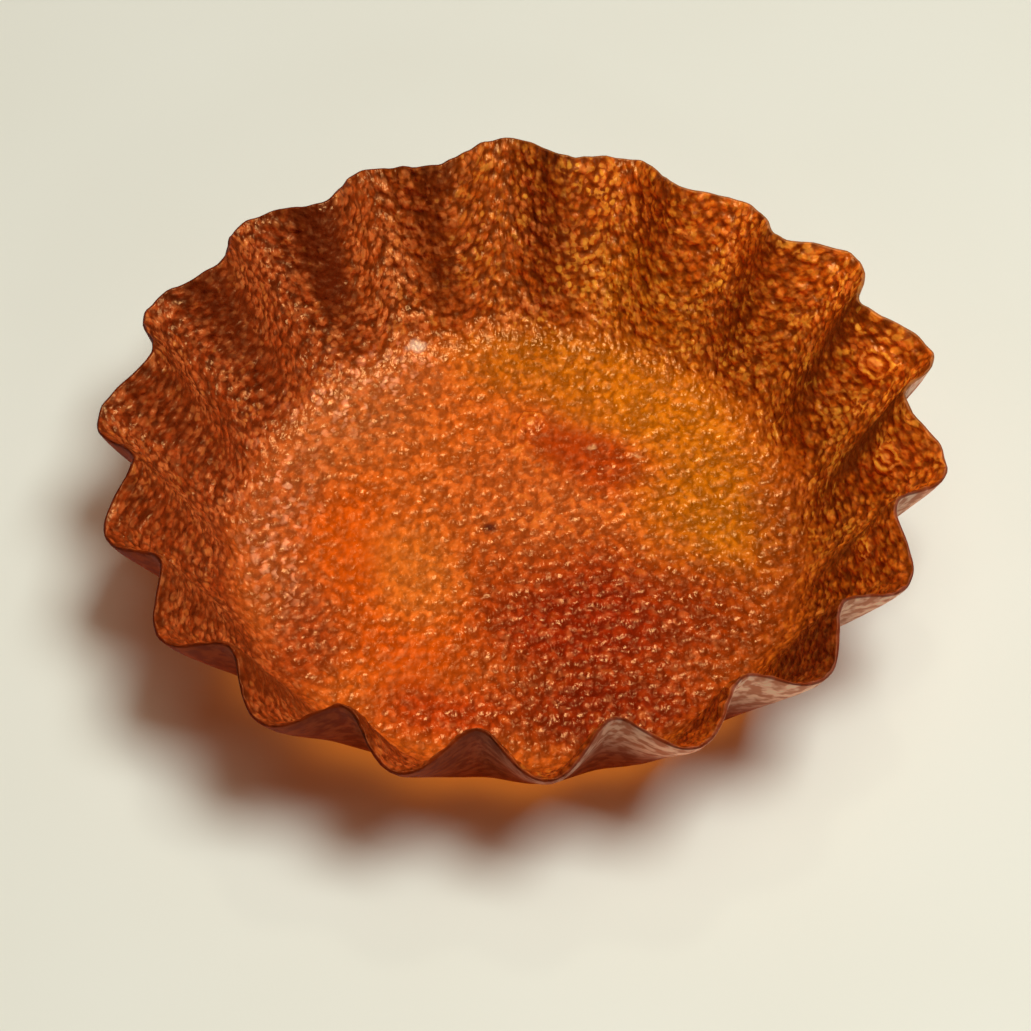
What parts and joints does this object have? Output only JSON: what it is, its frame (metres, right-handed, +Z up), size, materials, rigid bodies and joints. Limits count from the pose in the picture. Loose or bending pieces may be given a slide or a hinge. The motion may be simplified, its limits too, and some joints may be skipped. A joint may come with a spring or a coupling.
{
  "type": "fluted tartlet shell",
  "caption": "Empty round tartlet shell of thin translucent dried carrot, with a flat floor, a flaring fluted wall and a wavy rim, to be filled.",
  "frame": {"origin": "centre of the footprint, on the underside of the floor", "axes": "+Z up out of the mouth, the side nearest the camera facing -Y, +X to the right of the picture"},
  "size_m": [0.0656, 0.065, 0.0149],
  "materials": {
    "dried_carrot": "translucent amber sheet, bubbled inside and smooth outside, semi-gloss"
  },
  "bodies": {
    "root": {"tartlet_shell": "dried_carrot"}
  },
  "joints": []
}
